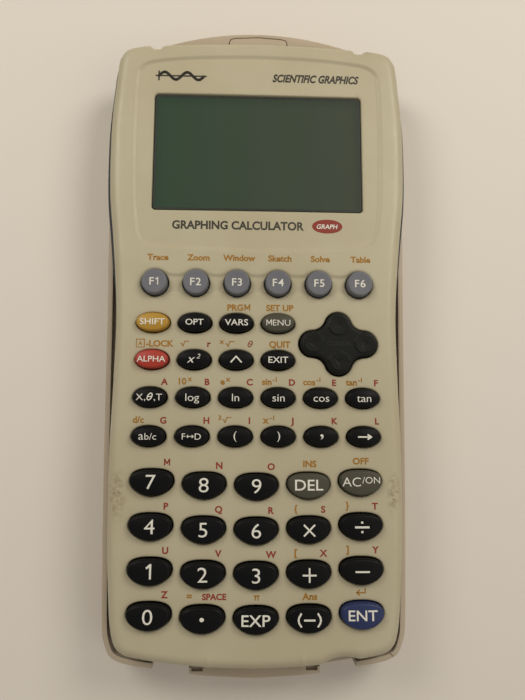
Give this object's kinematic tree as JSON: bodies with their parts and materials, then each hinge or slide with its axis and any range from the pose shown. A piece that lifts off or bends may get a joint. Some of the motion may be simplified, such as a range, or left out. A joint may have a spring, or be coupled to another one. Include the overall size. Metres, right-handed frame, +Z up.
{
  "type": "graphing calculator",
  "caption": "Hand-held graphing calculator with a recessed landscape display, round and oval keys, a four-way cursor pad, and a hard slide cover stored on its back.",
  "frame": {"origin": "under the middle of the object, on the surface it lies on (centre of the bounding box's bottom face)", "axes": "+X to the right of someone reading the keys, +Y along the body towards the display end, +Z up out of the keys"},
  "size_m": [0.085, 0.1798, 0.0215],
  "materials": {
    "shell_cream": "cream ABS with a fine spark texture, slightly yellowed",
    "case_charcoal": "dark blue-grey moulded ABS",
    "cover_cream": "cream ABS with a fine spark texture",
    "door_cream": "cream ABS with a fine spark texture",
    "window": "clear acrylic, glossy",
    "lcd": "dark grey-green liquid crystal, satin",
    "board": "green solder mask",
    "silicone": "translucent grey silicone",
    "cell_jacket": "steel can in a printed jacket",
    "pad_black": "satin black",
    "key_black": "satin black with light printed legends",
    "key_grey": "satin warm grey",
    "key_lavender": "satin lavender grey",
    "key_ochre": "satin ochre",
    "key_red": "satin red",
    "key_blue": "satin blue"
  },
  "bodies": {
    "calculator": {"front_shell": "shell_cream", "rear_case": "case_charcoal", "display_window": "window", "lcd_module": "lcd", "circuit_board": "board", "key_mat": "silicone", "battery_cell_1": "cell_jacket", "battery_cell_2": "cell_jacket", "battery_cell_3": "cell_jacket", "battery_cell_4": "cell_jacket"},
    "cover": {"slide_cover": "cover_cream"},
    "door": {"battery_door": "door_cream"},
    "pad_rocker": {"cursor_pad_pivot": "silicone"},
    "pad": {"cursor_pad": "pad_black"},
    "key_f1": {"key_f1": "key_lavender"},
    "key_f2": {"key_f2": "key_lavender"},
    "key_f3": {"key_f3": "key_lavender"},
    "key_f4": {"key_f4": "key_lavender"},
    "key_f5": {"key_f5": "key_lavender"},
    "key_f6": {"key_f6": "key_lavender"},
    "key_shift": {"key_shift": "key_ochre"},
    "key_options": {"key_options": "key_black"},
    "key_variables": {"key_variables": "key_black"},
    "key_menu": {"key_menu": "key_grey"},
    "key_alpha": {"key_alpha": "key_red"},
    "key_square": {"key_square": "key_black"},
    "key_power": {"key_power": "key_black"},
    "key_exit": {"key_exit": "key_black"},
    "key_variable_x": {"key_variable_x": "key_black"},
    "key_log": {"key_log": "key_black"},
    "key_ln": {"key_ln": "key_black"},
    "key_sin": {"key_sin": "key_black"},
    "key_cos": {"key_cos": "key_black"},
    "key_tan": {"key_tan": "key_black"},
    "key_fraction": {"key_fraction": "key_black"},
    "key_convert": {"key_convert": "key_black"},
    "key_paren_open": {"key_paren_open": "key_black"},
    "key_paren_close": {"key_paren_close": "key_black"},
    "key_comma": {"key_comma": "key_black"},
    "key_arrow": {"key_arrow": "key_black"},
    "key_7": {"key_7": "key_black"},
    "key_8": {"key_8": "key_black"},
    "key_9": {"key_9": "key_black"},
    "key_delete": {"key_delete": "key_grey"},
    "key_on": {"key_on": "key_grey"},
    "key_4": {"key_4": "key_black"},
    "key_5": {"key_5": "key_black"},
    "key_6": {"key_6": "key_black"},
    "key_multiply": {"key_multiply": "key_black"},
    "key_divide": {"key_divide": "key_black"},
    "key_1": {"key_1": "key_black"},
    "key_2": {"key_2": "key_black"},
    "key_3": {"key_3": "key_black"},
    "key_add": {"key_add": "key_black"},
    "key_subtract": {"key_subtract": "key_black"},
    "key_0": {"key_0": "key_black"},
    "key_point": {"key_point": "key_black"},
    "key_exponent": {"key_exponent": "key_black"},
    "key_negative": {"key_negative": "key_black"},
    "key_enter": {"key_enter": "key_blue"}
  },
  "joints": [
    {"name": "cover_slide", "type": "slide", "parent": "calculator", "child": "cover", "axis": [0, -1, 0], "range_m": [0, 0.18]},
    {"name": "battery_door_slide", "type": "slide", "parent": "calculator", "child": "door", "axis": [0, 1, 0], "range_m": [0, 0.055]},
    {"name": "pad_up_down", "type": "hinge", "parent": "calculator", "child": "pad_rocker", "pos_m": [0.0215, -0.0034, 0.0165], "axis": [1, 0, 0], "range_deg": [-3, 3], "stiffness_Nm_per_rad": 0.6},
    {"name": "pad_left_right", "type": "hinge", "parent": "pad_rocker", "child": "pad", "pos_m": [0.0215, -0.0034, 0.0165], "axis": [0, 1, 0], "range_deg": [-3, 3], "stiffness_Nm_per_rad": 0.6},
    {"name": "press_f1", "type": "slide", "parent": "calculator", "child": "key_f1", "axis": [0, 0, -1], "range_m": [0, 0.001], "stiffness_N_per_m": 500},
    {"name": "press_f2", "type": "slide", "parent": "calculator", "child": "key_f2", "axis": [0, 0, -1], "range_m": [0, 0.001], "stiffness_N_per_m": 500},
    {"name": "press_f3", "type": "slide", "parent": "calculator", "child": "key_f3", "axis": [0, 0, -1], "range_m": [0, 0.001], "stiffness_N_per_m": 500},
    {"name": "press_f4", "type": "slide", "parent": "calculator", "child": "key_f4", "axis": [0, 0, -1], "range_m": [0, 0.001], "stiffness_N_per_m": 500},
    {"name": "press_f5", "type": "slide", "parent": "calculator", "child": "key_f5", "axis": [0, 0, -1], "range_m": [0, 0.001], "stiffness_N_per_m": 500},
    {"name": "press_f6", "type": "slide", "parent": "calculator", "child": "key_f6", "axis": [0, 0, -1], "range_m": [0, 0.001], "stiffness_N_per_m": 500},
    {"name": "press_shift", "type": "slide", "parent": "calculator", "child": "key_shift", "axis": [0, 0, -1], "range_m": [0, 0.001], "stiffness_N_per_m": 500},
    {"name": "press_options", "type": "slide", "parent": "calculator", "child": "key_options", "axis": [0, 0, -1], "range_m": [0, 0.001], "stiffness_N_per_m": 500},
    {"name": "press_variables", "type": "slide", "parent": "calculator", "child": "key_variables", "axis": [0, 0, -1], "range_m": [0, 0.001], "stiffness_N_per_m": 500},
    {"name": "press_menu", "type": "slide", "parent": "calculator", "child": "key_menu", "axis": [0, 0, -1], "range_m": [0, 0.001], "stiffness_N_per_m": 500},
    {"name": "press_alpha", "type": "slide", "parent": "calculator", "child": "key_alpha", "axis": [0, 0, -1], "range_m": [0, 0.001], "stiffness_N_per_m": 500},
    {"name": "press_square", "type": "slide", "parent": "calculator", "child": "key_square", "axis": [0, 0, -1], "range_m": [0, 0.001], "stiffness_N_per_m": 500},
    {"name": "press_power", "type": "slide", "parent": "calculator", "child": "key_power", "axis": [0, 0, -1], "range_m": [0, 0.001], "stiffness_N_per_m": 500},
    {"name": "press_exit", "type": "slide", "parent": "calculator", "child": "key_exit", "axis": [0, 0, -1], "range_m": [0, 0.001], "stiffness_N_per_m": 500},
    {"name": "press_variable_x", "type": "slide", "parent": "calculator", "child": "key_variable_x", "axis": [0, 0, -1], "range_m": [0, 0.001], "stiffness_N_per_m": 500},
    {"name": "press_log", "type": "slide", "parent": "calculator", "child": "key_log", "axis": [0, 0, -1], "range_m": [0, 0.001], "stiffness_N_per_m": 500},
    {"name": "press_ln", "type": "slide", "parent": "calculator", "child": "key_ln", "axis": [0, 0, -1], "range_m": [0, 0.001], "stiffness_N_per_m": 500},
    {"name": "press_sin", "type": "slide", "parent": "calculator", "child": "key_sin", "axis": [0, 0, -1], "range_m": [0, 0.001], "stiffness_N_per_m": 500},
    {"name": "press_cos", "type": "slide", "parent": "calculator", "child": "key_cos", "axis": [0, 0, -1], "range_m": [0, 0.001], "stiffness_N_per_m": 500},
    {"name": "press_tan", "type": "slide", "parent": "calculator", "child": "key_tan", "axis": [0, 0, -1], "range_m": [0, 0.001], "stiffness_N_per_m": 500},
    {"name": "press_fraction", "type": "slide", "parent": "calculator", "child": "key_fraction", "axis": [0, 0, -1], "range_m": [0, 0.001], "stiffness_N_per_m": 500},
    {"name": "press_convert", "type": "slide", "parent": "calculator", "child": "key_convert", "axis": [0, 0, -1], "range_m": [0, 0.001], "stiffness_N_per_m": 500},
    {"name": "press_paren_open", "type": "slide", "parent": "calculator", "child": "key_paren_open", "axis": [0, 0, -1], "range_m": [0, 0.001], "stiffness_N_per_m": 500},
    {"name": "press_paren_close", "type": "slide", "parent": "calculator", "child": "key_paren_close", "axis": [0, 0, -1], "range_m": [0, 0.001], "stiffness_N_per_m": 500},
    {"name": "press_comma", "type": "slide", "parent": "calculator", "child": "key_comma", "axis": [0, 0, -1], "range_m": [0, 0.001], "stiffness_N_per_m": 500},
    {"name": "press_arrow", "type": "slide", "parent": "calculator", "child": "key_arrow", "axis": [0, 0, -1], "range_m": [0, 0.001], "stiffness_N_per_m": 500},
    {"name": "press_7", "type": "slide", "parent": "calculator", "child": "key_7", "axis": [0, 0, -1], "range_m": [0, 0.001], "stiffness_N_per_m": 500},
    {"name": "press_8", "type": "slide", "parent": "calculator", "child": "key_8", "axis": [0, 0, -1], "range_m": [0, 0.001], "stiffness_N_per_m": 500},
    {"name": "press_9", "type": "slide", "parent": "calculator", "child": "key_9", "axis": [0, 0, -1], "range_m": [0, 0.001], "stiffness_N_per_m": 500},
    {"name": "press_delete", "type": "slide", "parent": "calculator", "child": "key_delete", "axis": [0, 0, -1], "range_m": [0, 0.001], "stiffness_N_per_m": 500},
    {"name": "press_on", "type": "slide", "parent": "calculator", "child": "key_on", "axis": [0, 0, -1], "range_m": [0, 0.001], "stiffness_N_per_m": 500},
    {"name": "press_4", "type": "slide", "parent": "calculator", "child": "key_4", "axis": [0, 0, -1], "range_m": [0, 0.001], "stiffness_N_per_m": 500},
    {"name": "press_5", "type": "slide", "parent": "calculator", "child": "key_5", "axis": [0, 0, -1], "range_m": [0, 0.001], "stiffness_N_per_m": 500},
    {"name": "press_6", "type": "slide", "parent": "calculator", "child": "key_6", "axis": [0, 0, -1], "range_m": [0, 0.001], "stiffness_N_per_m": 500},
    {"name": "press_multiply", "type": "slide", "parent": "calculator", "child": "key_multiply", "axis": [0, 0, -1], "range_m": [0, 0.001], "stiffness_N_per_m": 500},
    {"name": "press_divide", "type": "slide", "parent": "calculator", "child": "key_divide", "axis": [0, 0, -1], "range_m": [0, 0.001], "stiffness_N_per_m": 500},
    {"name": "press_1", "type": "slide", "parent": "calculator", "child": "key_1", "axis": [0, 0, -1], "range_m": [0, 0.001], "stiffness_N_per_m": 500},
    {"name": "press_2", "type": "slide", "parent": "calculator", "child": "key_2", "axis": [0, 0, -1], "range_m": [0, 0.001], "stiffness_N_per_m": 500},
    {"name": "press_3", "type": "slide", "parent": "calculator", "child": "key_3", "axis": [0, 0, -1], "range_m": [0, 0.001], "stiffness_N_per_m": 500},
    {"name": "press_add", "type": "slide", "parent": "calculator", "child": "key_add", "axis": [0, 0, -1], "range_m": [0, 0.001], "stiffness_N_per_m": 500},
    {"name": "press_subtract", "type": "slide", "parent": "calculator", "child": "key_subtract", "axis": [0, 0, -1], "range_m": [0, 0.001], "stiffness_N_per_m": 500},
    {"name": "press_0", "type": "slide", "parent": "calculator", "child": "key_0", "axis": [0, 0, -1], "range_m": [0, 0.001], "stiffness_N_per_m": 500},
    {"name": "press_point", "type": "slide", "parent": "calculator", "child": "key_point", "axis": [0, 0, -1], "range_m": [0, 0.001], "stiffness_N_per_m": 500},
    {"name": "press_exponent", "type": "slide", "parent": "calculator", "child": "key_exponent", "axis": [0, 0, -1], "range_m": [0, 0.001], "stiffness_N_per_m": 500},
    {"name": "press_negative", "type": "slide", "parent": "calculator", "child": "key_negative", "axis": [0, 0, -1], "range_m": [0, 0.001], "stiffness_N_per_m": 500},
    {"name": "press_enter", "type": "slide", "parent": "calculator", "child": "key_enter", "axis": [0, 0, -1], "range_m": [0, 0.001], "stiffness_N_per_m": 500}
  ]
}
